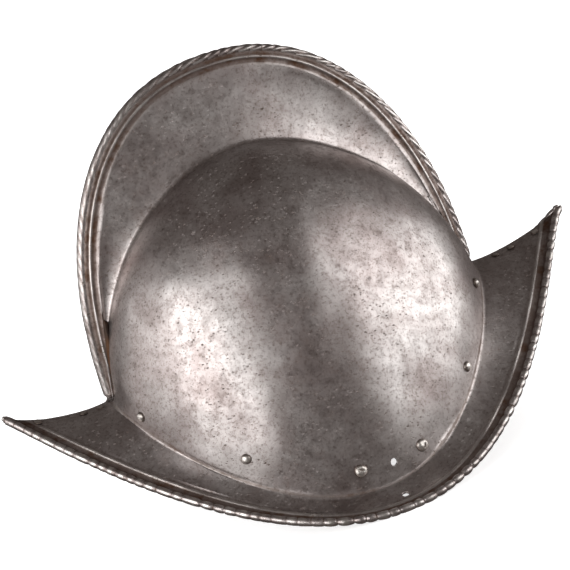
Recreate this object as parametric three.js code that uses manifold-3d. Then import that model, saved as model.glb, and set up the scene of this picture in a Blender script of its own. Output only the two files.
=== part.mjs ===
// Comb morion: an open steel helmet with a tall comb and a boat-shaped brim.
// The skull is made of two plate halves that meet on the centre plane. The left half's comb edge is
// turned over the right half's edge as a roped fold, and the two peaks are lap-riveted on the centre
// line. Each half's brim ends in a rolled edge. A row of rivets for the lining runs round the base.
// Millimetres. +X is the rear, -Y is the wearer's left, +Z is up. The origin is the middle of the
// helmet's footprint: z = 0 is where the brim stands, and x = 0 is midway between the two tips.
import * as THREE from 'three';
import { mergeVertices } from 'three/addons/utils/BufferGeometryUtils.js';
import Module from 'manifold-3d';

const wasm = await Module();
wasm.setup();

// ---- Driving dimensions ------------------------------------------------------------------------
const PLATE = 1.2;            // sheet thickness
const SEAM_GAP = 0.3;         // air between the two halves on the centre plane
const FOOT_FLAT = 0.5;        // depth worn off the rolled edge where the helmet stands

const BOWL_HALF_LENGTH = 114; // crease, front to rear
const BOWL_HALF_WIDTH = 97;   // crease, side to side
const CREASE_SAG = 77;        // how far the crease dips at the sides
const RIDGE_HEIGHT = 112;     // bowl's top line, where it meets the comb, above the crease ends
const RIDGE_HALF_LENGTH = 110;
const RIDGE_HALF_WIDTH = 9;   // half thickness of the comb's root
const RIDGE_LEAN = 4;         // the bowl's top line leans this far forward

const COMB_HEIGHT = 162;      // middle of the comb's fold above the crease ends
const COMB_HALF_LENGTH = 113;
const COMB_HALF_WIDTH = 2.6;  // half thickness of the comb near its edge
const COMB_FOLD_RADIUS = 3;   // roped fold along the comb

const BRIM_HALF_LENGTH = 176;
const BRIM_CENTRE = 2.5;      // the brim's middle, behind the bowl's middle
const TIPS_MIDDLE = 2.155;    // midway between the two finished tips
const BRIM_HALF_WIDTH = 120;
const PEAK_RISE = 13;         // tips above the crease ends
const BRIM_DROP = 97.5;       // tips down to the brim's lowest edge
const BOWL_TUCK = 5.5;        // how far the rear quarter of the bowl's base is drawn in
const BRIM_TUCK = 3.5;        // the same for the brim's edge
const BRIM_ROLL_RADIUS = 2.2;
const ROLL_SINK = 0.5;        // the roll's middle lies this far under the brim's upper face
// Floor to the two ends of the crease.
const REST_HEIGHT = BRIM_DROP - PEAK_RISE + ROLL_SINK + BRIM_ROLL_RADIUS - FOOT_FLAT;

const COLUMNS = 36;           // facets from front to rear
const BOWL_ROWS = 8;
const COMB_ROWS = 3;
const BRIM_ROWS = 4;

// ---- Small helpers -----------------------------------------------------------------------------
const HALF_PI = Math.PI / 2;
const signedPower = (v, p) => Math.sign(v) * Math.abs(v) ** p;
const mix = (a, b, s) => a + (b - a) * s;

// Turns a position list and triangle list into a manifold solid.
function solidOf(geometry) {
  const bare = geometry.clone();
  bare.deleteAttribute('normal');
  bare.deleteAttribute('uv');
  const merged = mergeVertices(bare, 1e-4);
  return new wasm.Manifold(new wasm.Mesh({
    numProp: 3,
    vertProperties: new Float32Array(merged.attributes.position.array),
    triVerts: new Uint32Array(merged.index.array),
  }));
}

// Turns a manifold solid back into a three.js geometry.
function geometryOf(solid) {
  const mesh = solid.getMesh();
  const geometry = new THREE.BufferGeometry();
  geometry.setAttribute('position', new THREE.BufferAttribute(new Float32Array(mesh.vertProperties), 3));
  geometry.setIndex(new THREE.BufferAttribute(new Uint32Array(mesh.triVerts), 1));
  geometry.computeVertexNormals();
  return geometry;
}

// Closed solid between two grids of the same size; 'near' is the outer face, 'far' the inner one.
// near[i][j] and far[i][j] are points; walls are added round the four borders.
function slabBetween(near, far) {
  const columns = near.length;
  const rows = near[0].length;
  const positions = [];
  for (const grid of [near, far]) {
    for (const column of grid) {
      for (const p of column) positions.push(p.x, p.y, p.z);
    }
  }
  const a = (i, j) => i * rows + j;
  const b = (i, j) => columns * rows + i * rows + j;
  const index = [];
  const quad = (p, q, r, s) => index.push(p, q, r, p, r, s);
  for (let i = 0; i + 1 < columns; i += 1) {
    for (let j = 0; j + 1 < rows; j += 1) {
      quad(a(i, j), a(i + 1, j), a(i + 1, j + 1), a(i, j + 1));
      quad(b(i, j), b(i, j + 1), b(i + 1, j + 1), b(i + 1, j));
    }
  }
  for (let i = 0; i + 1 < columns; i += 1) {
    quad(a(i, 0), b(i, 0), b(i + 1, 0), a(i + 1, 0));
    quad(a(i, rows - 1), a(i + 1, rows - 1), b(i + 1, rows - 1), b(i, rows - 1));
  }
  for (let j = 0; j + 1 < rows; j += 1) {
    quad(a(0, j), a(0, j + 1), b(0, j + 1), b(0, j));
    quad(a(columns - 1, j), b(columns - 1, j), b(columns - 1, j + 1), a(columns - 1, j + 1));
  }
  const geometry = new THREE.BufferGeometry();
  geometry.setAttribute('position', new THREE.Float32BufferAttribute(positions, 3));
  geometry.setIndex(index);
  return solidOf(geometry);
}

// Round bar of one radius along a smooth line through the points.
function barAlong(points, radius, steps, sides) {
  const section = new THREE.Shape();
  section.absarc(0, 0, radius, 0, Math.PI * 2, false);
  const geometry = new THREE.ExtrudeGeometry(section, {
    steps,
    curveSegments: sides,
    bevelEnabled: false,
    extrudePath: new THREE.CatmullRomCurve3(points, false, 'centripetal'),
  });
  return solidOf(geometry);
}

// Box given by its low and high corners.
function boxBetween(low, high) {
  const size = new THREE.Vector3().subVectors(high, low);
  const geometry = new THREE.BoxGeometry(size.x, size.y, size.z);
  const middle = new THREE.Vector3().addVectors(low, high).multiplyScalar(0.5);
  geometry.translate(middle.x, middle.y, middle.z);
  return solidOf(geometry);
}

// The rotation that takes +Z to the given direction.
function turnTo(direction) {
  const up = new THREE.Vector3(0, 0, 1);
  return new THREE.Quaternion().setFromUnitVectors(up, direction.clone().normalize());
}

// Straight round cutter through the plate at a point, along the plate's normal.
function drill(point, normal, radius) {
  const geometry = new THREE.CylinderGeometry(radius, radius, 14, 12);
  geometry.rotateX(HALF_PI);
  geometry.applyQuaternion(turnTo(normal));
  geometry.translate(point.x, point.y, point.z);
  return solidOf(geometry);
}

// The largest single body of a solid; crumbs left by a cut are dropped.
function mainBody(solid) {
  const bodies = solid.decompose();
  bodies.sort((p, q) => q.volume() - p.volume());
  return bodies[0];
}

// ---- The helmet's lines ------------------------------------------------------------------------
// Every line is drawn for the left half (y < 0) from the front (t = 0) to the rear (t = pi), with
// z = 0 at the crease ends and x = 0 at the bowl's middle; every piece is moved to the origin at the
// end. 'inset' gives the same line on a surface that lies deeper.

// Share by which the rear quarter is drawn in: none before the middle.
const tuck = (t) => (t > HALF_PI ? Math.abs(Math.sin(2 * t)) : 0);

// Crease between bowl and brim: an oval in plan that dips at the sides.
function creaseLine(t, inset) {
  const halfLength = BOWL_HALF_LENGTH - inset;
  const y = COMB_HALF_WIDTH + (BOWL_HALF_WIDTH - COMB_HALF_WIDTH) * Math.sin(t) - inset;
  const x = -halfLength * Math.cos(t) - BOWL_TUCK * tuck(t);
  return new THREE.Vector3(x, -y, -CREASE_SAG * Math.sin(t) ** 1.75);
}

// Line where the bowl meets the comb's root.
function ridgeLine(t, inset) {
  const s = Math.sin(t);
  const halfLength = RIDGE_HALF_LENGTH - inset;
  const x = -RIDGE_LEAN * s - halfLength * signedPower(Math.cos(t), 1.1);
  const y = COMB_HALF_WIDTH + (RIDGE_HALF_WIDTH - COMB_HALF_WIDTH) * Math.sqrt(s) - inset;
  return new THREE.Vector3(x, -y, 0.5 + (RIDGE_HEIGHT - inset) * s ** 1.1);
}

// Comb's outer edge.
function combLine(t, inset) {
  const s = Math.sin(t);
  const x = -1.5 * s - (COMB_HALF_LENGTH - inset) * signedPower(Math.cos(t), 0.9);
  return new THREE.Vector3(x, -(COMB_HALF_WIDTH - inset), 2 + (COMB_HEIGHT - inset) * s ** 0.9);
}

// Brim's outer edge: a pointed oval in plan, tips high and sides low.
function brimLine(t) {
  const s = Math.sin(t);
  const y = -1 + (BRIM_HALF_WIDTH + 1) * s ** 2.2;
  const x = BRIM_CENTRE - BRIM_HALF_LENGTH * Math.cos(t) - BRIM_TUCK * tuck(t);
  return new THREE.Vector3(x, -y, PEAK_RISE - BRIM_DROP * s ** 2.08);
}

// Brim's inner boundary, in the middle of the bowl wall's thickness.
function brimRoot(t) {
  const half = PLATE / 2;
  const x = -(BOWL_HALF_LENGTH - half) * Math.cos(t) - BOWL_TUCK * tuck(t);
  const y = -1 + (BOWL_HALF_WIDTH - half + 1) * Math.sin(t);
  return new THREE.Vector3(x, -y, -CREASE_SAG * Math.sin(t) ** 1.75);
}

// ---- The helmet's surfaces ---------------------------------------------------------------------
// Bowl: a quarter oval arch from the crease (v = 0) to the comb's root (v = 1).
function bowlPoint(t, v, inset) {
  const low = creaseLine(t, inset);
  const top = ridgeLine(t, inset);
  const rise = Math.sin(v * HALF_PI);
  const reach = 1 - Math.cos(v * HALF_PI);
  return new THREE.Vector3(mix(low.x, top.x, rise), mix(low.y, top.y, reach), mix(low.z, top.z, rise));
}

// Comb side: nearly flat, flaring out into the bowl at its root.
function combPoint(t, v, inset) {
  const root = ridgeLine(t, inset);
  const edge = combLine(t, inset);
  const flare = (1 - v) ** 2.5;
  return new THREE.Vector3(mix(root.x, edge.x, v), mix(edge.y, root.y, flare), mix(root.z, edge.z, v));
}

// Brim's upper face: hollowed slightly between the crease and the edge.
function brimPoint(t, v) {
  const p = brimRoot(t).lerp(brimLine(t), v);
  const hollow = mix(4, 1.5, Math.sin(t));
  p.z -= hollow * 4 * v * (1 - v);
  return p;
}

const columnAngle = (i) => Math.PI * i / COLUMNS;

// Half skull as a filled body reaching past the centre plane. 'skirt' carries it below the crease.
function skullBody(inset, skirt) {
  const near = [];
  const far = [];
  for (let i = 0; i <= COLUMNS; i += 1) {
    const t = columnAngle(i);
    const column = [];
    const foot = bowlPoint(t, 0, inset);
    column.push(new THREE.Vector3(foot.x, foot.y, foot.z - skirt));
    for (let j = 0; j <= BOWL_ROWS; j += 1) column.push(bowlPoint(t, j / BOWL_ROWS, inset));
    for (let j = 1; j <= COMB_ROWS; j += 1) column.push(combPoint(t, j / COMB_ROWS, inset));
    near.push(column);
    far.push(column.map((p) => new THREE.Vector3(p.x, 2, p.z)));
  }
  return slabBetween(near, far);
}

// Strip of the brim between two depths under its upper face.
function brimBody(top, bottom) {
  const near = [];
  const far = [];
  for (let i = 0; i <= COLUMNS; i += 1) {
    const lower = [];
    const upper = [];
    for (let j = 0; j <= BRIM_ROWS; j += 1) {
      const p = brimPoint(columnAngle(i), j / BRIM_ROWS);
      upper.push(new THREE.Vector3(p.x, p.y, p.z - top));
      lower.push(new THREE.Vector3(p.x, p.y, p.z - bottom));
    }
    near.push(lower);
    far.push(upper);
  }
  return slabBetween(near, far);
}

// Rolled edge of the brim, carried a little past the centre plane at both tips.
function brimRoll() {
  const points = [];
  const first = brimLine(0);
  const last = brimLine(Math.PI);
  points.push(new THREE.Vector3(first.x - 1, 6, first.z));
  for (let i = 0; i <= COLUMNS; i += 1) points.push(brimLine(columnAngle(i)));
  points.push(new THREE.Vector3(last.x + 1, 6, last.z));
  for (const p of points) p.z -= ROLL_SINK;
  return barAlong(points, BRIM_ROLL_RADIUS, COLUMNS + 12, 4);
}

// Roped fold along the comb's edge, of the given radius.
function combFold(radius) {
  const points = [];
  for (let i = 0; i <= COLUMNS; i += 1) {
    const p = combLine(columnAngle(i), 0);
    points.push(new THREE.Vector3(p.x, 0, p.z));
  }
  return barAlong(points, radius, COLUMNS, 4);
}

// ---- Rivets ------------------------------------------------------------------------------------
// Lining rivets: angle along the crease and height above it.
const LINING_RIVETS = [
  { name: 'front', t: 0.375, above: 7 },
  { name: 'fore', t: 0.947, above: 14.6 },
  { name: 'aft', t: 2.288, above: 9 },
  { name: 'rear', t: 2.73, above: 12 },
];
// Larger strap rivets at mid-side, with a round hole between them.
const STRAP_RIVETS = [
  { name: 'fore', t: 1.462, above: 12.4 },
  { name: 'aft', t: 1.818, above: 9.2 },
];
const STRAP_HOLE = { t: 1.636, above: 10.8, radius: 1.8 };
const BRIM_HOLE = { t: 1.594, v: 0.45, radius: 1.5 };
// Rivets of the lap joints on the two peaks: distance from the helmet's middle, and from the seam.
const LAP_RIVETS = [
  { name: 'front_root', x: -120.5 },
  { name: 'front_mid', x: -131 },
  { name: 'front_tip', x: -156 },
  { name: 'rear_root', x: 129.5 },
  { name: 'rear_mid', x: 139.5 },
  { name: 'rear_tip', x: 157 },
];
const LAP_RIVET_OFFSET = 4;   // to the left of the seam
const LAP_WIDTH = 8;          // how far the right half runs under the left one at the peaks
const LAP_DEPTH = PLATE + 0.45;

// Point and outward normal on the bowl's outer face at a height above the crease.
function bowlSpot(t, above) {
  const low = creaseLine(t, 0).z;
  const top = ridgeLine(t, 0).z;
  const v = Math.asin(above / (top - low)) / HALF_PI;
  const point = bowlPoint(t, v, 0);
  const alongT = bowlPoint(t + 0.01, v, 0).sub(bowlPoint(t - 0.01, v, 0));
  const alongV = bowlPoint(t, v + 0.01, 0).sub(bowlPoint(t, v - 0.01, 0));
  const normal = alongT.cross(alongV).normalize();
  return { point, normal };
}

// Point and upward normal on the brim's upper face.
function brimSpot(t, v) {
  const point = brimPoint(t, v);
  const alongT = brimPoint(t + 0.01, v).sub(brimPoint(t - 0.01, v));
  const alongV = brimPoint(t, v + 0.01).sub(brimPoint(t, v - 0.01));
  const normal = alongT.cross(alongV).normalize();
  if (normal.z < 0) normal.negate();
  return { point, normal };
}

// Spot on a peak's upper face at a distance along X, just left of the seam.
function peakSpot(x) {
  const rear = x > 0;
  let best = null;
  for (let i = 1; i <= 60; i += 1) {
    const t = rear ? Math.PI - i * 0.008 : i * 0.008;
    for (let j = 0; j <= 60; j += 1) {
      const p = brimPoint(t, j / 60);
      const miss = Math.hypot(p.x - x, p.y + LAP_RIVET_OFFSET);
      if (best === null || miss < best.miss) best = { miss, t, v: j / 60 };
    }
  }
  return brimSpot(best.t, best.v);
}

// Rivet turned about its own axis: domed head outside, shank, and a flat washer-like head inside.
// z = 0 is the plate's outer face and -grip its inner face; 'air' is the space left to the plate.
function rivetGeometry({ headRadius, headHeight, shankRadius, grip, tailRadius, tailHeight, air }) {
  const profile = [];
  const steps = 3;
  profile.push(new THREE.Vector2(0, -grip - air - tailHeight));
  profile.push(new THREE.Vector2(tailRadius, -grip - air - tailHeight));
  profile.push(new THREE.Vector2(tailRadius, -grip - air));
  profile.push(new THREE.Vector2(shankRadius, -grip - air));
  profile.push(new THREE.Vector2(shankRadius, air));
  for (let i = 0; i < steps; i += 1) {
    const a = HALF_PI * i / steps;
    profile.push(new THREE.Vector2(headRadius * Math.cos(a), air + headHeight * Math.sin(a)));
  }
  profile.push(new THREE.Vector2(0, air + headHeight));
  const geometry = new THREE.LatheGeometry(profile, 10);
  geometry.rotateX(HALF_PI);
  return mergeVertices(stripToPosition(geometry), 1e-4);
}

function stripToPosition(geometry) {
  geometry.deleteAttribute('normal');
  geometry.deleteAttribute('uv');
  return geometry;
}

const LINING_RIVET = {
  headRadius: 3, headHeight: 2, shankRadius: 1.3, grip: PLATE + 0.4, tailRadius: 2.4, tailHeight: 0.7, air: 0.3,
};
const STRAP_RIVET = {
  headRadius: 3.9, headHeight: 1.7, shankRadius: 1.7, grip: PLATE + 0.15, tailRadius: 3.1, tailHeight: 0.8, air: 0.35,
};
const LAP_RIVET = {
  headRadius: 2.5,
  headHeight: 0.6,
  shankRadius: 1.1,
  grip: PLATE + LAP_DEPTH,
  tailRadius: 2,
  tailHeight: 0.6,
  air: 0.3,
};

// Moves a spot on to the facet of the plate that it lies over, and takes that facet's normal.
function seatOn(plate, spot) {
  const start = spot.point.clone().addScaledVector(spot.normal, 6);
  const ray = new THREE.Raycaster(start, spot.normal.clone().negate());
  const hit = ray.intersectObject(plate)[0];
  return { ...spot, point: hit.point, normal: hit.face.normal.clone() };
}

// ---- The two halves ----------------------------------------------------------------------------
const steel = (colour, roughness) => new THREE.MeshStandardMaterial({
  color: colour,
  metalness: 1,
  roughness,
});
const group = new THREE.Group();
const FAR = 400;
const leftSide = boxBetween(
  new THREE.Vector3(-FAR, -FAR, -FAR),
  new THREE.Vector3(FAR, -SEAM_GAP / 2, FAR),
);
const underFoot = boxBetween(
  new THREE.Vector3(-FAR, -FAR, -FAR),
  new THREE.Vector3(FAR, FAR, -REST_HEIGHT),
);

// Left half without its comb fold: hollow skull, brim and rolled brim edge.
const wall = skullBody(0, PLATE * 1.1).subtract(skullBody(PLATE, 40));
let plainHalf = wall.add(brimBody(0, PLATE * 1.1)).add(brimRoll());
plainHalf = plainHalf.intersect(leftSide).subtract(underFoot);
const bareHalf = new THREE.Mesh(geometryOf(plainHalf), new THREE.MeshStandardMaterial());
const liningSpots = LINING_RIVETS.map((r) => seatOn(bareHalf, { ...r, ...bowlSpot(r.t, r.above) }));
const strapSpots = STRAP_RIVETS.map((r) => seatOn(bareHalf, { ...r, ...bowlSpot(r.t, r.above) }));
for (const spot of liningSpots) {
  plainHalf = plainHalf.subtract(drill(spot.point, spot.normal, LINING_RIVET.shankRadius + 0.3));
}
for (const spot of strapSpots) {
  plainHalf = plainHalf.subtract(drill(spot.point, spot.normal, STRAP_RIVET.shankRadius + 0.3));
}
const strapHole = seatOn(bareHalf, bowlSpot(STRAP_HOLE.t, STRAP_HOLE.above));
plainHalf = plainHalf.subtract(drill(strapHole.point, strapHole.normal, STRAP_HOLE.radius));

// Right half: the mirror image, cut clear of the fold, with a tongue under the left half's peaks.
const lapSpots = LAP_RIVETS.map((r) => seatOn(bareHalf, { ...r, ...peakSpot(r.x) }));
const mirrorAcross = (solid) => solid.mirror([0, 1, 0]);
function lapTongue(low, high) {
  const wide = boxBetween(new THREE.Vector3(low, -LAP_WIDTH, -FAR), new THREE.Vector3(high, 5, FAR));
  const narrow = boxBetween(
    new THREE.Vector3(low, SEAM_GAP / 2, -FAR),
    new THREE.Vector3(high, 5, FAR),
  );
  const toSeam = boxBetween(new THREE.Vector3(-FAR, -FAR, -FAR), new THREE.Vector3(FAR, 0.05, FAR));
  const under = brimBody(LAP_DEPTH, LAP_DEPTH + PLATE).intersect(toSeam);
  const both = under.add(mirrorAcross(under));
  const joint = mirrorAcross(brimBody(0.5, LAP_DEPTH + PLATE));
  return both.intersect(wide).add(joint.intersect(narrow));
}
let rightHalf = mirrorAcross(plainHalf).add(lapTongue(-159.5, -118)).add(lapTongue(123, 164));
rightHalf = rightHalf.subtract(combFold(COMB_FOLD_RADIUS + 0.35));
let leftHalf = plainHalf.add(combFold(COMB_FOLD_RADIUS));
for (const spot of lapSpots) {
  const cutter = drill(spot.point, spot.normal, LAP_RIVET.shankRadius + 0.3);
  leftHalf = leftHalf.subtract(cutter);
  rightHalf = rightHalf.subtract(cutter);
}
const brimHole = seatOn(bareHalf, brimSpot(BRIM_HOLE.t, BRIM_HOLE.v));
leftHalf = leftHalf.subtract(drill(brimHole.point, brimHole.normal, BRIM_HOLE.radius));

function addPiece(name, geometry, material) {
  const mesh = new THREE.Mesh(geometry, material);
  mesh.name = name;
  mesh.position.set(-TIPS_MIDDLE, 0, REST_HEIGHT);
  group.add(mesh);
  return mesh;
}

addPiece('left_half', geometryOf(mainBody(leftHalf)), steel(0x8f8a86, 0.35));
addPiece('right_half', geometryOf(mainBody(rightHalf)), steel(0x8f8a86, 0.35));

// ---- The rivets in place -----------------------------------------------------------------------
function addRivet(name, shape, point, normal, side) {
  const mesh = addPiece(name, rivetGeometry(shape), steel(0x7d7773, 0.45));
  const place = point.clone();
  const out = normal.clone();
  if (side > 0) {
    place.y = -place.y;
    out.y = -out.y;
  }
  mesh.position.add(place);
  mesh.quaternion.copy(turnTo(out));
}
for (const [sideName, side] of [['left', -1], ['right', 1]]) {
  for (const spot of liningSpots) {
    addRivet(`lining_rivet_${sideName}_${spot.name}`, LINING_RIVET, spot.point, spot.normal, side);
  }
  for (const spot of strapSpots) {
    addRivet(`strap_rivet_${sideName}_${spot.name}`, STRAP_RIVET, spot.point, spot.normal, side);
  }
}
for (const spot of lapSpots) addRivet(`lap_rivet_${spot.name}`, LAP_RIVET, spot.point, spot.normal, -1);

export default group;
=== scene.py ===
"""Looks of a steel comb morion: two hammered half shells, a roped comb fold, a notched brim and its rivets.

The wearer's left is -Y, the front tip is at -X and the helmet stands on its brim at Z = 0. Sizes in the
classes are millimetres; meshes are put down in metres.
"""

import logging
import math
from dataclasses import dataclass, field
from enum import Enum
from typing import Callable, Sequence

import bpy
import numpy as np
from mathutils import Matrix, Vector


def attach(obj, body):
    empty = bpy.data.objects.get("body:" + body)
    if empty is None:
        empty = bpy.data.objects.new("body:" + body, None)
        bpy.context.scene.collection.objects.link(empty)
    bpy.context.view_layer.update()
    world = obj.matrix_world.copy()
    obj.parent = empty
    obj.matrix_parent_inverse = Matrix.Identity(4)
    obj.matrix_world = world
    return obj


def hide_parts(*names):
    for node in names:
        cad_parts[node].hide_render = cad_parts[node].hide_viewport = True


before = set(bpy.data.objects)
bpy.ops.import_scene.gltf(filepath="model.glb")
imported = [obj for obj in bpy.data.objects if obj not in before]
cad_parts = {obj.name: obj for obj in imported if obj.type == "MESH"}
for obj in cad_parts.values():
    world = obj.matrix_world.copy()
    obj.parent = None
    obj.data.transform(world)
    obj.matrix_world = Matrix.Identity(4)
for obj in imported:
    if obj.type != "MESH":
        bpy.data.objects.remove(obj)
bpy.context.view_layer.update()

LOG = logging.getLogger("morion")
MM = 0.001
BODY = "root"
TINY = 1e-9

Line = Callable[[np.ndarray], np.ndarray]
Socket = tuple[bpy.types.Node, str | int]


class Side(Enum):
    """Which half of the helmet a piece belongs to: the sign of its Y."""

    LEFT = -1.0
    RIGHT = 1.0


# ---- Numbers and arrays --------------------------------------------------------------------------

def smooth(x: np.ndarray, low: float, high: float) -> np.ndarray:
    """Smooth step from 0 at low to 1 at high (3x^2 - 2x^3 on the clipped ratio).

    Args:
        x: Values.
        low: Where the step starts.
        high: Where the step ends.

    Returns:
        Values from 0 to 1.
    """
    r = np.clip((x - low) / (high - low), 0.0, 1.0)
    return r * r * (3.0 - 2.0 * r)


def unit(v: np.ndarray) -> np.ndarray:
    """Vectors along the last axis, each made one long.

    Args:
        v: Vectors, xyz on the last axis.

    Returns:
        The same directions with length 1.
    """
    return v / np.maximum(np.linalg.norm(v, axis=-1, keepdims=True), TINY)


def power(v: np.ndarray, p: float) -> np.ndarray:
    """Power of the absolute value that keeps the sign.

    Args:
        v: Values of either sign.
        p: The power.

    Returns:
        sign(v) |v|^p.
    """
    return np.sign(v) * np.abs(v) ** p


def ripple(points: np.ndarray, wave: float, seed: int, count: int = 14) -> np.ndarray:
    """Soft seeded unevenness: the mean of sine waves in random directions, near one wavelength.

    Args:
        points: Points in millimetres, xyz on the last axis.
        wave: Typical wavelength in millimetres.
        seed: Seed of the directions and phases.
        count: Number of waves.

    Returns:
        Values roughly from -1 to 1.
    """
    rng = np.random.default_rng(seed)
    direction = unit(rng.normal(size=(count, 3)))
    rate = 2.0 * math.pi / (wave * rng.uniform(0.65, 1.6, count))
    phase = rng.uniform(0.0, 2.0 * math.pi, count)
    angle = points @ (direction * rate[:, None]).T + phase
    return np.sin(angle).sum(-1) / math.sqrt(count)


def grid_faces(columns: int, rows: int, closed_rows: bool = False) -> np.ndarray:
    """Quads of a grid whose vertices are numbered column by column.

    Args:
        columns: Number of columns.
        rows: Number of rows in a column.
        closed_rows: True where each column is a closed ring.

    Returns:
        An (n, 4) array of vertex numbers.
    """
    i = np.arange(columns - 1)[:, None]
    j = np.arange(rows if closed_rows else rows - 1)[None, :]
    up = (j + 1) % rows
    a, b = i * rows + j, (i + 1) * rows + j
    c, d = (i + 1) * rows + up, i * rows + up
    return np.stack([a, b, c, d], axis=-1).reshape(-1, 4)


def make_mesh(
    name: str,
    points: np.ndarray,
    faces: Sequence[Sequence[int]],
    layers: dict[str, np.ndarray] | None = None,
) -> bpy.types.Object:
    """Smooth-shaded mesh object at the origin from millimetre points.

    Args:
        name: Piece name.
        points: (n, 3) points in millimetres.
        faces: Faces as lists of vertex numbers.
        layers: Named values per vertex for the materials to read.

    Returns:
        The new object, linked to the scene.
    """
    mesh = bpy.data.meshes.new(name)
    mesh.from_pydata((points * MM).tolist(), [], [list(f) for f in faces])
    for key, values in (layers or {}).items():
        layer = mesh.attributes.new(key, "FLOAT", "POINT")
        layer.data.foreach_set("value", values.astype(np.float32).ravel())
    mesh.polygons.foreach_set("use_smooth", np.ones(len(mesh.polygons), bool))
    mesh.validate()
    mesh.update()
    piece = bpy.data.objects.new(name, mesh)
    bpy.context.scene.collection.objects.link(piece)
    return piece


def enlist(piece: bpy.types.Object, nodes: Sequence[str]) -> None:
    """Puts a piece on the helmet's body, hides the solids it stands for and logs its face count.

    Args:
        piece: The finished object.
        nodes: The solids that it stands for.
    """
    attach(piece, BODY)
    if nodes:
        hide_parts(*nodes)
    LOG.info("%s: %d faces", piece.name, len(piece.data.polygons))


# ---- Finishes ------------------------------------------------------------------------------------

def linear(code: str) -> tuple[float, float, float, float]:
    """An sRGB hex colour such as '#B8B2AC' turned to linear RGBA.

    Args:
        code: '#' and six hex digits.

    Returns:
        Linear red, green and blue, and 1 for alpha.
    """
    parts = [int(code[i:i + 2], 16) / 255.0 for i in (1, 3, 5)]
    made = [p / 12.92 if p <= 0.04045 else ((p + 0.055) / 1.055) ** 2.4 for p in parts]
    return (made[0], made[1], made[2], 1.0)


class NodeBoard:
    """A material's node tree with one function that adds a node, sets it and links it."""

    def __init__(self, name: str) -> None:
        """Makes an empty node material of that name."""
        self.material = bpy.data.materials.new(name)
        self.material.use_nodes = True
        self.tree = self.material.node_tree
        self.tree.nodes.clear()

    def add(
        self,
        kind: str,
        settings: dict[str, object] | None = None,
        inputs: dict[object, object] | None = None,
    ) -> bpy.types.Node:
        """Adds one node.

        Args:
            kind: Blender's node type name.
            settings: Attributes of the node; 'stops' fills a colour ramp.
            inputs: Socket name or number to a value, or to (node, output) for a link.

        Returns:
            The node.
        """
        node = self.tree.nodes.new(kind)
        for key, value in (settings or {}).items():
            if key == "stops":
                ramp = node.color_ramp
                for n, (place, colour) in enumerate(value):
                    stop = ramp.elements[n] if n < 2 else ramp.elements.new(place)
                    stop.position, stop.color = place, colour
            else:
                setattr(node, key, value)
        for key, value in (inputs or {}).items():
            socket = node.inputs[key]
            if isinstance(value, tuple) and len(value) == 2 and isinstance(value[0], bpy.types.Node):
                self.tree.links.new(value[0].outputs[value[1]], socket)
            else:
                socket.default_value = value
        return node


def grey(value: float) -> tuple[float, float, float, float]:
    """A grey of that linear value, for ramps that carry a number.

    Args:
        value: The number, 0 to 1.

    Returns:
        The grey as RGBA.
    """
    return (value, value, value, 1.0)


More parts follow.
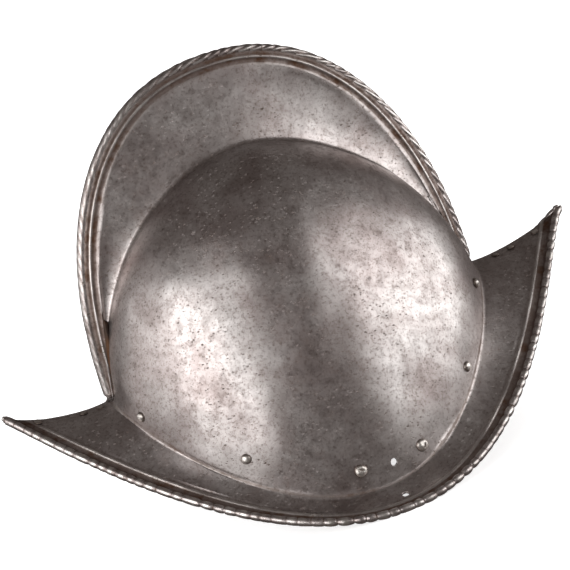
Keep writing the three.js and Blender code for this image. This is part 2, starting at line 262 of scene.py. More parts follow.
@dataclass(frozen=True)
class PolishedSteel:
    """Hammered and polished wrought steel, four centuries old.

    A broad soft sheen from the old polish, brown corrosion pits in clusters, a warm brown patina that
    stays in recesses, and bright metal where hands have worn the edges bare; the same bright colour also
    paints a highlight line along the concave ridge and crease fillets. Sizes ending in _mm are how far
    across one blotch, pit or scar is.
    """

    name: str = "polished_wrought_steel"
    bright: str = "#CDC8C6"
    body: str = "#AAA09E"
    patina: str = "#66564E"
    rust: str = "#5A4132"
    pit: str = "#54473F"
    # bright rubbed metal on raised edges, also used as a painted highlight line along the ridge and crease
    # fillets
    rubbed: str = "#E2DED9"
    roughness: float = 0.37
    cloud_mm: float = 38.0
    mottle_mm: float = 5.5
    pit_mm: float = 2.5
    pin_mm: float = 1.3
    scar_mm: float = 6.5
    cluster_mm: float = 17.0
    bloom_mm: float = 11.0
    relief_mm: float = 0.2
    grain_mm: float = 1.7
    pit_share: float = 1.0

    def build(self) -> bpy.types.Material:
        """Builds the node material.

        Returns:
            The material.
        """
        b = NodeBoard(self.name)
        place = b.add("ShaderNodeTexCoord")
        at = (place, "Object")

        def noise(size_mm: float, detail: float, rough: float, warp: float = 0.0) -> Socket:
            """Noise whose blotches are about size_mm across."""
            node = b.add("ShaderNodeTexNoise", None, {
                "Vector": at, "Scale": 1.0 / (size_mm * MM), "Detail": detail,
                "Roughness": rough, "Distortion": warp})
            return (node, "Fac")

        def ramp(source: Socket, *stops: tuple[float, float]) -> Socket:
            """A number ramp through the given (place, value) stops."""
            node = b.add("ShaderNodeValToRGB", {"stops": [(p, grey(v)) for p, v in stops]}, {"Fac": source})
            return (node, "Color")

        def math_node(kind: str, first: object, second: object, clamp: bool = True) -> Socket:
            """A sum, difference or product of two numbers."""
            node = b.add("ShaderNodeMath", {"operation": kind, "use_clamp": clamp}, {0: first, 1: second})
            return (node, "Value")

        def blend(amount: object, low: object, high: object) -> Socket:
            """Colour that goes from low to high with the amount."""
            node = b.add("ShaderNodeMix", {"data_type": "RGBA"}, {0: amount, 6: low, 7: high})
            return (node, 2)

        recess = (b.add("ShaderNodeAttribute", {"attribute_name": "recess"}), "Fac")
        # rubbed layer: bright wear on raised beads, pads and rivet crowns, plus painted highlight lines in
        # the ridge and crease fillets
        rubbed = (b.add("ShaderNodeAttribute", {"attribute_name": "rubbed"}), "Fac")

        clouds = noise(self.cloud_mm, 5.0, 0.6, 0.4)
        mottle = noise(self.mottle_mm, 7.0, 0.68, 0.2)
        skin = blend(ramp(clouds, (0.36, 0.0), (0.64, 1.0)), linear(self.body), linear(self.bright))
        patches = ramp(mottle, (0.5, 0.0), (0.72, 1.0))
        mottled = math_node("MULTIPLY", patches, ramp(clouds, (0.3, 1.0), (0.7, 0.25)))
        stained = blend(math_node("MULTIPLY", mottled, 0.62), skin, linear(self.patina))
        grain = noise(self.grain_mm, 4.0, 0.75, 0.3)
        grain_part = math_node("MULTIPLY", ramp(grain, (0.50, 0.0), (0.66, 1.0)), 0.62)
        grained = blend(grain_part, stained, linear(self.patina))

        stretch = b.add("ShaderNodeMapping", None, {
            "Vector": at, "Rotation": (0.2, 0.35, 0.15), "Scale": (0.5, 1.0, 1.0)})

        def specks(size_mm: float, reach: float, cover: float, seed_mm: float) -> Socket:
            """Corrosion pits: cells size_mm apart, a share of which hold one slightly drawn-out speck."""
            shift = b.add("ShaderNodeVectorMath", {"operation": "ADD"}, {
                0: (stretch, "Vector"), 1: (seed_mm * MM, seed_mm * MM * 0.7, 0.0)})
            wobble = b.add("ShaderNodeTexNoise", None, {
                "Vector": (shift, "Vector"), "Scale": 1.0 / (size_mm * 0.4 * MM), "Detail": 2.0})
            bent = b.add("ShaderNodeMix", {"data_type": "VECTOR"}, {
                0: size_mm * 0.00022, 4: (shift, "Vector"), 5: (wobble, "Color")})
            cells = b.add("ShaderNodeTexVoronoi", {"feature": "F1"}, {
                "Vector": (bent, 1), "Scale": 1.0 / (size_mm * MM), "Randomness": 1.0})
            split = b.add("ShaderNodeSeparateColor", None, {"Color": (cells, "Color")})
            size = math_node("MULTIPLY", (split, "Red"), reach, clamp=False)
            inside = math_node("SUBTRACT", size, (cells, "Distance"), clamp=False)
            edge = ramp(inside, (0.0, 0.0), (0.12, 1.0))
            chosen = ramp((split, "Green"), (cover - 0.02, 1.0), (cover + 0.02, 0.0))
            return math_node("MULTIPLY", edge, chosen)

        cluster = ramp(noise(self.cluster_mm, 5.0, 0.7), (0.40, 0.08), (0.62, 1.0))
        large = math_node("MULTIPLY", specks(self.pit_mm, 0.27, 0.55, 3.0), cluster)
        small = math_node("MULTIPLY", specks(self.pin_mm, 0.42, 0.72, 17.0), cluster)
        scars = math_node("MULTIPLY", specks(self.scar_mm, 0.22, 0.30, 29.0), cluster)
        large = math_node("ADD", large, math_node("MULTIPLY", scars, 0.7))
        every_pit = math_node("ADD", large, math_node("MULTIPLY", small, 0.8))
        pits = math_node("MULTIPLY", every_pit, self.pit_share)

        grime = math_node("MULTIPLY", recess, ramp(mottle, (0.3, 0.7), (0.6, 1.0)))
        clustered = blend(math_node("MULTIPLY", cluster, 0.28), grained, linear(self.patina))
        dirty = blend(grime, clustered, linear(self.patina))
        blooms = ramp(noise(self.bloom_mm, 5.0, 0.7), (0.52, 0.0), (0.66, 1.0))
        rusty_part = math_node("MULTIPLY", recess, blooms)
        rusty = blend(rusty_part, dirty, linear(self.rust))
        # the rubbed colour is wear on raised parts and a painted highlight along the ridge and crease
        # fillets
        rubbed_and_highlight_part = math_node("MULTIPLY", rubbed, ramp(mottle, (0.3, 0.6), (0.5, 1.0)))
        worn = blend(rubbed_and_highlight_part, rusty, linear(self.rubbed))
        pitted = blend(pits, worn, linear(self.pit))

        base_rough = ramp(mottle, (0.3, self.roughness - 0.06), (0.7, self.roughness + 0.12))
        with_grime = math_node("ADD", base_rough, math_node("MULTIPLY", grime, 0.22))
        with_wear = math_node("SUBTRACT", with_grime, math_node("MULTIPLY", rubbed_and_highlight_part, 0.08))
        rough = math_node("ADD", with_wear, math_node("MULTIPLY", pits, 0.4))
        metal = math_node("SUBTRACT", 1.0, math_node("MULTIPLY", pits, 0.55))

        height = math_node("ADD", math_node("MULTIPLY", mottle, 0.40), math_node("MULTIPLY", grain, 0.30))
        relief = math_node("SUBTRACT", height, math_node("MULTIPLY", pits, 0.5), clamp=False)
        bump = b.add("ShaderNodeBump", None, {
            "Strength": 0.5, "Distance": self.relief_mm * MM, "Height": relief})
        shader = b.add("ShaderNodeBsdfPrincipled", None, {
            "Base Color": pitted, "Metallic": metal, "Roughness": rough, "Normal": (bump, "Normal")})
        b.add("ShaderNodeOutputMaterial", None, {"Surface": (shader, "BSDF")})
        return b.material


@dataclass(frozen=True)
class RawInside:
    """Unpolished inner face of forged plate: dark fire scale with rust bloom and hammer shadows."""

    name: str = "raw_forged_inside"
    scale: str = "#3A322D"
    bloom: str = "#5C3F2B"
    bare: str = "#6E6660"
    bloom_mm: float = 24.0
    scale_mm: float = 4.0
    relief_mm: float = 0.5

    def build(self) -> bpy.types.Material:
        """Builds the node material.

        Returns:
            The material.
        """
        b = NodeBoard(self.name)
        place = b.add("ShaderNodeTexCoord")
        broad = b.add("ShaderNodeTexNoise", None, {
            "Vector": (place, "Object"), "Scale": 1.0 / (self.bloom_mm * MM), "Detail": 6.0,
            "Roughness": 0.62})
        close = b.add("ShaderNodeTexNoise", None, {
            "Vector": (place, "Object"), "Scale": 1.0 / (self.scale_mm * MM), "Detail": 5.0,
            "Roughness": 0.7})
        hue = b.add("ShaderNodeValToRGB", {"stops": [
            (0.34, linear(self.scale)), (0.55, linear(self.bloom)), (0.72, linear(self.bare))]},
            {"Fac": (broad, "Fac")})
        rough = b.add("ShaderNodeValToRGB", {"stops": [(0.3, grey(0.5)), (0.7, grey(0.8))]},
                      {"Fac": (close, "Fac")})
        bump = b.add("ShaderNodeBump", None, {
            "Strength": 0.6, "Distance": self.relief_mm * MM, "Height": (close, "Fac")})
        shader = b.add("ShaderNodeBsdfPrincipled", None, {
            "Base Color": (hue, "Color"), "Metallic": 0.75, "Roughness": (rough, "Color"),
            "Normal": (bump, "Normal")})
        b.add("ShaderNodeOutputMaterial", None, {"Surface": (shader, "BSDF")})
        return b.material


@dataclass(frozen=True)
class PaleStudio:
    """Opal white light table, lit from below, very faintly uneven."""

    name: str = "opal_light_table"
    light: str = "#FFFFFF"
    shade: str = "#FAFAFA"
    clouds_per_metre: float = 1.4
    own_light: float = 0.72

    def build(self) -> bpy.types.Material:
        """Builds the node material.

        Returns:
            The material.
        """
        b = NodeBoard(self.name)
        place = b.add("ShaderNodeTexCoord")
        cloud = b.add("ShaderNodeTexNoise", None, {
            "Vector": (place, "Object"), "Scale": self.clouds_per_metre, "Detail": 2.0})
        hue = b.add("ShaderNodeValToRGB", {"stops": [(0.3, linear(self.shade)), (0.7, linear(self.light))]},
                    {"Fac": (cloud, "Fac")})
        shader = b.add("ShaderNodeBsdfPrincipled", None, {
            "Base Color": (hue, "Color"), "Roughness": 0.9, "Specular IOR Level": 0.1,
            "Emission Color": (hue, "Color"), "Emission Strength": self.own_light})
        b.add("ShaderNodeOutputMaterial", None, {"Surface": (shader, "BSDF")})
        return b.material


# ---- The helmet's lines --------------------------------------------------------------------------

@dataclass
class SkullLines:
    """The lines that every plate hangs from, for a half helmet with Y positive outwards.

    Each line takes an array t that runs from 0 at the front to pi at the rear, and gives (n, 3) points in
    millimetres with z = 0 at the crease ends. place() moves points to the standing helmet.
    """

    bowl_half_length: float = 114.0
    bowl_half_width: float = 97.0
    crease_sag: float = 77.0
    ridge_half_length: float = 110.0
    ridge_height: float = 112.0
    ridge_half_width: float = 9.0
    ridge_lean: float = 4.0
    comb_height: float = 162.0
    comb_half_length: float = 113.0
    comb_half_width: float = 2.6
    brim_half_length: float = 176.0
    brim_half_width: float = 120.0
    brim_centre: float = 2.5
    tips_middle: float = 2.155
    peak_rise: float = 13.0
    brim_drop: float = 97.5
    bowl_tuck: float = 5.5
    brim_tuck: float = 3.5
    seam: float = 0.15
    rest_height: float = 86.7

    def tuck(self, t: np.ndarray) -> np.ndarray:
        """Share by which the rear quarter is drawn in: |sin 2t| behind the middle, 0 before it."""
        return np.where(t > math.pi / 2, np.abs(np.sin(2.0 * t)), 0.0)

    def crease(self, t: np.ndarray) -> np.ndarray:
        """Oval in plan that dips at the sides: z = -77 sin(t)^1.75."""
        s = np.sin(t)
        y = self.comb_half_width + (self.bowl_half_width - self.comb_half_width) * s
        x = -self.bowl_half_length * np.cos(t) - self.bowl_tuck * self.tuck(t)
        return np.stack([x, y, -self.crease_sag * s ** 1.75], -1)

    def ridge(self, t: np.ndarray) -> np.ndarray:
        """Line where the bowl meets the comb's root: an arch 112 mm tall, leaning slightly forward."""
        s = np.sin(t)
        x = -self.ridge_lean * s - self.ridge_half_length * power(np.cos(t), 1.1)
        y = self.comb_half_width + (self.ridge_half_width - self.comb_half_width) * np.sqrt(s)
        return np.stack([x, y, 0.5 + self.ridge_height * s ** 1.1], -1)

    def comb(self, t: np.ndarray) -> np.ndarray:
        """Comb's outer edge: a fuller arch 162 mm tall."""
        s = np.sin(t)
        x = -1.5 * s - self.comb_half_length * power(np.cos(t), 0.90)
        return np.stack([x, np.full_like(s, self.comb_half_width), 2.0 + self.comb_height * s ** 0.90], -1)

    def brim(self, t: np.ndarray) -> np.ndarray:
        """Brim's outer edge: a pointed oval in plan with high tips and low sides."""
        s = np.sin(t)
        y = -1.0 + (self.brim_half_width + 1.0) * s ** 2.2
        x = self.brim_centre - self.brim_half_length * np.cos(t) - self.brim_tuck * self.tuck(t)
        return np.stack([x, y, self.peak_rise - self.brim_drop * s ** 2.08], -1)

    def root(self, t: np.ndarray) -> np.ndarray:
        """Brim's inner boundary, on the crease but reaching the seam at both ends."""
        s = np.sin(t)
        y = self.seam + (self.bowl_half_width - self.seam) * s
        x = -self.bowl_half_length * np.cos(t) - self.bowl_tuck * self.tuck(t)
        return np.stack([x, y, -self.crease_sag * s ** 1.75], -1)

    def bowl(self, t: np.ndarray, v: np.ndarray) -> np.ndarray:
        """Quarter oval arch from the crease (v = 0) to the ridge (v = 1)."""
        low, top = self.crease(t), self.ridge(t)
        rise = np.sin(v * math.pi / 2)[..., None]
        reach = (1.0 - np.cos(v * math.pi / 2))[..., None]
        mixed = np.concatenate([rise, reach, rise], -1)
        return low + (top - low) * mixed

    def hollow(self, t: np.ndarray, v: np.ndarray) -> np.ndarray:
        """How far the brim sags between crease and edge: a parabola, 4 mm at peaks, 1.5 mm at sides."""
        return (4.0 - 2.5 * np.sin(t)) * 4.0 * v * (1.0 - v)

    def place(self, points: np.ndarray, side: Side) -> np.ndarray:
        """Moves half-helmet points to the standing helmet and to the asked side."""
        mirror = np.array([1.0, side.value, 1.0])
        return points * mirror + np.array([-self.tips_middle, 0.0, self.rest_height])


def inward(line: Line, towards: np.ndarray, t: np.ndarray) -> np.ndarray:
    """Unit vectors in the plate, square to an edge line and pointing away from it.

    Args:
        line: The edge as a function of t.
        towards: A point of the plate for each t, which fixes the plate's plane.
        t: The parameters.

    Returns:
        (n, 3) unit vectors: the chord less its part along the edge's tangent.
    """
    step = 1e-3
    tangent = unit(line(np.clip(t + step, 0.0, math.pi)) - line(np.clip(t - step, 0.0, math.pi)))
    chord = towards - line(t)
    return unit(chord - (chord * tangent).sum(-1, keepdims=True) * tangent)


# ---- Plates --------------------------------------------------------------------------------------

@dataclass
class Eyelet:
    """A drilled hole on the half helmet.

    Its height is millimetres above the crease on the bowl, or the share of the way to the edge on the brim.
    """

    t: float
    on_brim: bool
    height: float
    radius: float


@dataclass
class HalfShell:
    """One half of the skull beaten from a single plate: comb side, half bowl and half brim."""

    lines: SkullLines
    side: Side
    plate: float = 1.2
    columns: int = 270
    dense_columns: int = 44
    comb_rows: int = 16
    fillet_rows: int = 6
    bowl_rows: int = 44
    brim_rows: int = 22
    ridge_fillet: float = 2.6
    crease_fillet: float = 1.7
    dish: float = 0.55
    # strength of the rubbed layer: wear on the beads and the painted highlight lines in the fillets
    rubbed_and_highlight_strength: float = 0.45
    eyelets: list[Eyelet] = field(default_factory=list)

    # how large a share of the plate beside it a border or a rounded corner may take
    comb_border_share: float = 0.7
    brim_border_share: float = 0.5
    flat_corner_share: float = 0.3
    bowl_corner_share: float = 0.2
    bowl_corner_stretch: float = 1.25
    flare: float = 2.5
    least_square: float = 0.45

    # soft hammer waves: share, wavelength, seed
    hammering: tuple[tuple[float, float, int], ...] = ((0.62, 62.0, 11), (0.38, 24.0, 12), (0.05, 11.0, 13))

    # where columns (t) and bowl rows (share of the way up) lie closer together for the small holes
    close_columns: tuple[float, float] = (1.555, 1.675)
    column_margin: float = 0.003
    close_rows: tuple[float, float] = (0.006, 0.050)
    row_margin: float = 0.002
    extra_rows: int = 20

    # border profiles: distance from the edge line, height above the plate, recess, rubbed
    comb_border: tuple[tuple[float, float, float, float], ...] = (
        (0.0, 0.0, 0.6, 0.0), (2.4, 0.0, 1.0, 0.0), (3.2, -0.25, 1.0, 0.0), (3.7, 0.25, 0.3, 0.8),
        (4.3, 0.35, 0.0, 1.0), (4.8, 0.05, 0.7, 0.1), (5.3, -0.35, 1.0, 0.0), (7.2, -0.35, 0.85, 0.0),
        (7.9, 0.0, 0.35, 0.3), (9.0, 0.0, 0.05, 0.1))
    brim_border: tuple[tuple[float, float, float, float], ...] = (
        (0.0, -0.3, 1.0, 0.0), (1.8, -0.3, 1.0, 0.0), (2.9, -0.75, 1.0, 0.0), (3.8, -0.35, 0.95, 0.0),
        (6.4, -0.3, 0.9, 0.0), (7.0, 0.1, 0.3, 0.6), (7.6, 0.5, 0.0, 1.0), (8.4, 0.5, 0.0, 0.9),
        (9.0, 0.1, 0.35, 0.2), (10.2, 0.0, 0.1, 0.0))

    def angles(self) -> np.ndarray:
        """Column parameters: an even fan, with closer columns past the small holes at mid-side.

        Returns:
            Rising values from 0 to pi.
        """
        even = np.linspace(0.0, math.pi, self.columns)
        low, high = self.close_columns
        extra = np.linspace(low, high, self.dense_columns)
        kept = even[(even < low - self.column_margin) | (even > high + self.column_margin)]
        return np.sort(np.concatenate([kept, extra]))

    def heights(self) -> np.ndarray:
        """Bowl row parameters from crease to ridge, closer together where the small holes are.

        Returns:
            Rising values from 0 to 1.
        """
        even = np.linspace(0.0, 1.0, self.bowl_rows)
        low, high = self.close_rows
        extra = np.linspace(low, high, self.extra_rows)
        kept = even[(even < low - self.row_margin) | (even > high + self.row_margin)]
        return np.sort(np.concatenate([kept, extra]))

    def border(
        self,
        line: Line,
        target: np.ndarray,
        t: np.ndarray,
        profile: Sequence[Sequence[float]],
        room: np.ndarray,
    ) -> np.ndarray:
        """Rows parallel to an edge line.

        Args:
            line: The edge as a function of t.
            target: Points of the plate's inner side for each t.
            t: The column parameters.
            profile: Border profile, distance first.
            room: The most that the border may reach at each t.

        Returns:
            (columns, rows, 3): edge + distance x inward direction, narrowed where room is short.
        """
        distance = np.array([row[0] for row in profile])
        scale = np.minimum(1.0, room / distance[-1])
        way = inward(line, target, t)
        return line(t)[:, None, :] + way[:, None, :] * (distance[None, :] * scale[:, None])[..., None]

    def rows(self) -> tuple[np.ndarray, dict[str, np.ndarray]]:
        """All rows of the half shell from the comb's edge over the bowl to the brim's edge.

        Each corner (ridge and crease) is rounded by a quadratic curve between a point before it, the
        corner and a point after it: (1-s)^2 A + 2s(1-s) C + s^2 B.

        Returns:
            (columns, rows, 3) points, and per-vertex values by name.
        """
        lines = self.lines
        t = self.angles()
        n = len(t)
        ones = np.ones(n)

        ridge, edge = lines.ridge(t), lines.comb(t)
        span = np.linalg.norm(edge - ridge, axis=-1)
        comb_edge = self.border(lines.comb, ridge, t, self.comb_border, self.comb_border_share * span)

        inner = np.linalg.norm(comb_edge[:, -1, :] - ridge, axis=-1)
        ridge_share = np.minimum(self.flat_corner_share, self.ridge_fillet / np.maximum(inner, 1.0))
        w = np.linspace(1.0, 0.0, self.comb_rows)
        comb_w = ridge_share[:, None] + (1.0 - ridge_share)[:, None] * w[None, :]
        last = comb_edge[:, -1, :]
        comb = ridge[:, None, :] + (last - ridge)[:, None, :] * comb_w[..., None]
        flare = (1.0 - comb_w) ** self.flare
        comb[..., 1] = last[:, None, 1] + (ridge[:, None, 1] - last[:, None, 1]) * flare

        probe = 0.03
        arc = np.linalg.norm(lines.bowl(t, (1.0 - probe) * ones) - ridge, axis=-1) / probe
        top_corner = self.ridge_fillet * self.bowl_corner_stretch / np.maximum(arc, 1.0)
        v_top = 1.0 - np.minimum(self.bowl_corner_share, top_corner)
        rise = np.linalg.norm(lines.bowl(t, probe * ones) - lines.crease(t), axis=-1) / probe
        v_low = np.minimum(self.bowl_corner_share, self.crease_fillet / np.maximum(rise, 1.0))
        fan = self.heights()[::-1]
        v = v_low[:, None] + (v_top - v_low)[:, None] * fan[None, :]
        bowl = lines.bowl(np.repeat(t[:, None], v.shape[1], 1), v)

        t_edge = self.seam_start(lines.brim, t)
        root, brim_line = lines.root(t), lines.brim(t_edge)
        chord = root - brim_line
        length = np.linalg.norm(chord, axis=-1)
        way = chord / length[:, None]
        square = (way * inward(lines.brim, root, t_edge)).sum(-1)
        square = np.maximum(square, self.least_square)
        reach = np.array([row[0] for row in self.brim_border])[None, :] / square[:, None]
        reach *= np.minimum(1.0, self.brim_border_share * length / reach[:, -1])[:, None]
        brim_edge = (brim_line[:, None, :] + way[:, None, :] * reach[..., None])[:, ::-1, :]
        first = brim_edge[:, 0, :]
        width = np.linalg.norm(first - root, axis=-1)
        b_low = np.minimum(self.flat_corner_share, self.crease_fillet / np.maximum(width, 1.0))
        u = np.linspace(0.0, 1.0, self.brim_rows)
        u = b_low[:, None] + (1.0 - b_low)[:, None] * u[None, :-1]
        brim = root[:, None, :] + (first - root)[:, None, :] * u[..., None]
        full = np.linalg.norm(brim_line - root, axis=-1)
        share = np.linalg.norm(brim - root[:, None, :], axis=-1) / full[:, None]
        brim[..., 2] -= lines.hollow(t[:, None], share)
        edge_share = 1.0 - np.linalg.norm(brim_edge - brim_line[:, None, :], axis=-1) / full[:, None]
        brim_edge[..., 2] -= lines.hollow(t[:, None], edge_share)

        s = np.linspace(0.0, 1.0, self.fillet_rows + 2)[1:-1][None, :, None]

        def rounded(a: np.ndarray, c: np.ndarray, b: np.ndarray) -> np.ndarray:
            """Quadratic curve from a to b with its corner at c, without its ends."""
            return (1 - s) ** 2 * a[:, None] + 2 * s * (1 - s) * c[:, None] + s * s * b[:, None]

        ridge_turn = rounded(comb[:, -1], ridge, bowl[:, 0])
        crease_turn = rounded(bowl[:, -1], lines.crease(t), brim[:, 0])
        parts = [comb_edge, comb[:, 1:], ridge_turn, bowl, crease_turn, brim, brim_edge]
        points = np.concatenate(parts, axis=1)
        counts = [p.shape[1] for p in parts]

        def fill(values: Sequence[Sequence[float] | float]) -> np.ndarray:
            """One row of values, each part's list or its one number repeated."""
            made = [np.full(c, x) if np.isscalar(x) else np.asarray(x) for x, c in zip(values, counts)]
            return np.repeat(np.concatenate(made)[None, :], n, 0)

        comb_p, brim_p = np.array(self.comb_border), np.array(self.brim_border)[::-1]
        bell = np.sin(np.linspace(0.0, math.pi, self.fillet_rows))
        layers = {
            "lift": fill([comb_p[:, 1], 0.0, 0.0, 0.0, 0.0, 0.0, brim_p[:, 1]]),
            "recess": fill([comb_p[:, 2], 0.0, 0.25 * bell, 0.0, 0.8 * bell, 0.0, brim_p[:, 2]]),
            # the ridge_turn and crease_turn values paint a highlight line in the concave fillets; the
            # border values are wear on raised beads
            "rubbed": fill([comb_p[:, 3], 0.0, 0.25 * bell, 0.0, 0.3 * bell ** 3, 0.0, brim_p[:, 3]]),
            "plain": fill([0.0, 1.0, 1.0, 1.0, 0.6, 1.0, 0.0]),
        }
        tight = smooth(np.sin(t), 0.0, 0.22)
        tight_comb = np.minimum(1.0, self.comb_border_share * span / self.comb_border[-1][0])
        layers["lift"][:, :counts[0]] *= tight_comb[:, None]
        layers["lift"][:, -counts[-1]:] *= tight[:, None]
        return points, layers

    def seam_start(self, line: Line, t: np.ndarray) -> np.ndarray:
        """Spreads columns along an edge from where it leaves the seam.

        Args:
            line: The edge as a function of t.
            t: The columns, from 0 to pi.

        Returns:
            start + (1 - 2 start / pi) t, where the edge is at the seam for t = start.
        """
        probe = np.linspace(0.0, 0.3, 3001)
        start = probe[np.argmax(line(probe)[:, 1] >= self.lines.seam)]
        return start + (1.0 - 2.0 * start / math.pi) * t

    def pierce(self, points: np.ndarray, eyelet: Eyelet) -> np.ndarray:
        """Opens the grid round a hole: a point at r < 2R from its middle moves out to R + r/2.

        Args:
            points: (columns, rows, 3) surface, changed in place.
            eyelet: The hole.

        Returns:
            True for each vertex that was within a quarter radius of the middle.
        """
        centre, normal = self.spot(eyelet)
        away = points - centre
        flat = away - (away @ normal)[..., None] * normal
        r = np.linalg.norm(flat, axis=-1)
        near = (r < 2.0 * eyelet.radius) & (np.abs(away @ normal) < 6.0)
        target = eyelet.radius + r / 2.0
        shift = flat * ((target - r) / np.maximum(r, 0.02))[..., None]
        points[near] += shift[near]
        return near & (r < 0.5 * eyelet.radius)

    def spot(self, eyelet: Eyelet) -> tuple[np.ndarray, np.ndarray]:
        """Middle and outward direction of a hole on the half helmet.

        Args:
            eyelet: The hole.

        Returns:
            The point and the unit normal.
        """
        return (self.brim_spot if eyelet.on_brim else self.bowl_spot)(eyelet.t, eyelet.height)

    def bowl_spot(self, t: float, above: float) -> tuple[np.ndarray, np.ndarray]:
        """Point and outward normal on the bowl, a height above the crease.

        Args:
            t: Column parameter.
            above: Height above the crease in millimetres.

        Returns:
            The point and the unit normal.
        """
        lines = self.lines
        low, top = lines.crease(np.array([t]))[0, 2], lines.ridge(np.array([t]))[0, 2]
        v = math.asin(above / (top - low)) / (math.pi / 2)
        tt = np.array([t, t + 0.01, t - 0.01, t, t])
        vv = np.array([v, v, v, v + 0.01, v - 0.01])
        p = lines.bowl(tt, vv)
        normal = unit(np.cross(p[1] - p[2], p[3] - p[4]))
        return p[0], normal if normal[1] > 0 else -normal

    def brim_spot(self, t: float, v: float) -> tuple[np.ndarray, np.ndarray]:
        """Point and upward normal on the brim.

        Args:
            t: Column parameter.
            v: Share of the way from crease to edge.

        Returns:
            The point and the unit normal.
        """
        lines = self.lines
        tt = np.array([t, t + 0.01, t - 0.01, t, t])
        vv = np.array([v, v, v, v + 0.01, v - 0.01])
        root, edge = lines.root(tt), lines.brim(tt)
        p = root + (edge - root) * vv[:, None]
        p[:, 2] -= lines.hollow(tt, vv)
        normal = unit(np.cross(p[1] - p[2], p[3] - p[4]))
        return p[0], normal if normal[2] > 0 else -normal

    def build(self, outer: bpy.types.Material, inner: bpy.types.Material) -> bpy.types.Object:
        """Builds the plate: raised borders, soft hammer unevenness, holes and its thickness.

        Args:
            outer: Finish of the polished outside.
            inner: Finish of the raw inside.

        Returns:
            The piece.
        """
        points, layers = self.rows()
        columns, rows = points.shape[:2]
        along = np.gradient(points, axis=0)
        across = np.gradient(points, axis=1)
        normal = unit(np.cross(across, along))
        flip = np.sign(normal[columns // 2, rows // 2, 1])
        normal *= flip
        wave = sum(share * ripple(points, length, seed) for share, length, seed in self.hammering)
        clear = smooth(np.sin(self.angles()), 0.03, 0.3)[:, None]
        patchy = 0.75 + 0.35 * ripple(points, 30.0, 51) + 0.3 * ripple(points, 9.0, 52)
        layers["rubbed"] *= self.rubbed_and_highlight_strength * np.clip(patchy, 0.15, 1.15)
        layers["lift"] *= np.clip(0.85 + 0.25 * ripple(points, 26.0, 53), 0.4, 1.2)
        offset = layers.pop("lift") + self.dish * wave * layers.pop("plain") * clear
        points = points + normal * offset[..., None]
        drop = np.zeros((columns, rows), bool)
        for eyelet in self.eyelets:
            drop |= self.pierce(points, eyelet)
        points[..., 1] = np.maximum(points[..., 1], self.lines.seam)
        placed = self.lines.place(points, self.side)
        faces = grid_faces(columns, rows)
        quarter = drop.ravel()[faces].any(axis=1)
        faces = faces[~quarter]
        want = self.side.value
        a, b, c = (placed.reshape(-1, 3)[faces[:, k]] for k in (0, 1, 2))
        middle = np.argmin(np.abs(a[:, 0]) + np.abs(a[:, 2] - 150.0))
        if np.cross(b - a, c - a)[middle, 1] * want < 0:
            faces = faces[:, ::-1]
        name = f"{self.side.name.lower()}_half_plate"
        piece = make_mesh(name, placed.reshape(-1, 3), faces.tolist(),
                          {k: v.ravel() for k, v in layers.items()})
        piece.data.materials.append(outer)
        piece.data.materials.append(inner)
        solid = piece.modifiers.new("plate_thickness", "SOLIDIFY")
        solid.thickness, solid.offset, solid.material_offset = self.plate * MM, -1.0, 1
        solid.use_rim, solid.material_offset_rim = True, 0
        enlist(piece, [f"{self.side.name.lower()}_half"])
        return piece


# ---- Rolled and roped edges ----------------------------------------------------------------------

def swept(
    path: np.ndarray,
    up: np.ndarray,
    radius: np.ndarray,
    turn: np.ndarray,
) -> np.ndarray:
    """Profile carried along a path: centre + radius (cos a side + sin a up).

    Args:
        path: (n, 3) centres.
        up: (n, 3) directions that the angle starts from.
        radius: (n, m) radius at each station and angle.
        turn: (m,) angles.

    Returns:
        (n, m, 3) points.
    """
    tangent = unit(np.gradient(path, axis=0))
    side = unit(np.cross(tangent, up))
    true_up = np.cross(side, tangent)
    cosine, sine = np.cos(turn)[None, :, None], np.sin(turn)[None, :, None]
    ring = cosine * side[:, None, :] + sine * true_up[:, None, :]
    return path[:, None, :] + radius[..., None] * ring


def even_path(line: Line, low: float, high: float, step: float) -> tuple[np.ndarray, np.ndarray]:
    """Points at even distances along a line.

    Args:
        line: The line as a function of t.
        low: First t.
        high: Last t.
        step: Distance between points in millimetres.

    Returns:
        (n, 3) points and their distances from the start.
    """
    t = np.linspace(low, high, 6000)
    p = line(t)
    run = np.concatenate([[0.0], np.cumsum(np.linalg.norm(np.diff(p, axis=0), axis=-1))])
    wanted = np.linspace(0.0, run[-1], max(8, int(run[-1] / step)))
    tt = np.interp(wanted, run, t)
    return line(tt), wanted


def capped(points: np.ndarray, path: np.ndarray) -> tuple[np.ndarray, list[list[int]]]:
    """Closes a swept bar with a point at each end.

    Args:
        points: (n, m, 3) swept rings.
        path: (n, 3) centres.

    Returns:
        All points, and faces of the bar and its two ends.
    """
    n, m = points.shape[:2]
    faces = grid_faces(n, m, closed_rows=True).tolist()
    flat = np.concatenate([points.reshape(-1, 3), path[:1], path[-1:]])
    ring = np.arange(m)
    after = (ring + 1) % m
    faces += np.stack([np.full(m, n * m), ring, after], -1).tolist()
    faces += np.stack([np.full(m, n * m + 1), (n - 1) * m + after, (n - 1) * m + ring], -1).tolist()
    return flat, faces


